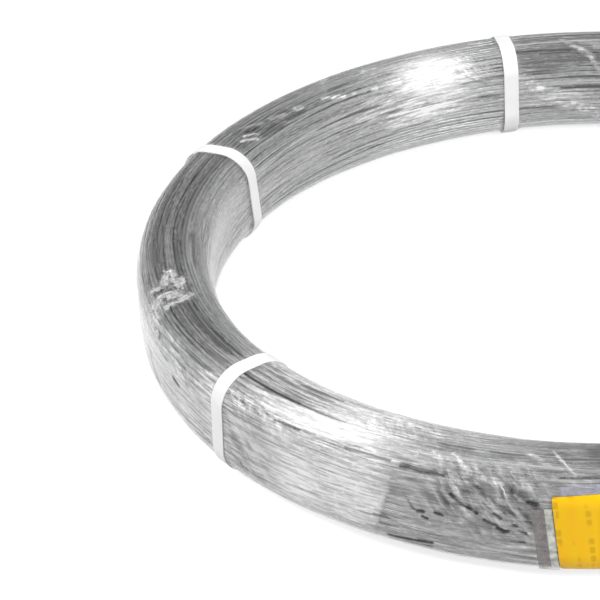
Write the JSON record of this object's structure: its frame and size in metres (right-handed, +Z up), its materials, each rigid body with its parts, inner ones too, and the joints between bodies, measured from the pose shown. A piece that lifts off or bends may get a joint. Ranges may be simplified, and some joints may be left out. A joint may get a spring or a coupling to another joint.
{
  "type": "oval fence wire coil",
  "caption": "Flat-lying coil of galvanised oval fence wire, film-wrapped and strapped, with a round bore through its middle.",
  "frame": {"origin": "centre of the coil's footprint, on the floor that it lies on", "axes": "+Z up along the coil's axis, -Y towards the side with the label"},
  "size_m": [0.7012, 0.7024, 0.0841],
  "materials": {
    "galvanised_wire": "galvanised, satin",
    "stretch_film": "clear, glossy, wrinkled",
    "strapping": "white, lightly ribbed",
    "label_paper": "yellow, smooth",
    "clear_pocket": "clear, glossy"
  },
  "bodies": {
    "root": {"wire_coil": "galvanised_wire", "film_wrap": "stretch_film", "strap_1": "strapping", "strap_2": "strapping", "strap_3": "strapping", "strap_4": "strapping", "strap_5": "strapping", "strap_6": "strapping", "label": "label_paper", "label_pocket": "clear_pocket"}
  },
  "joints": []
}
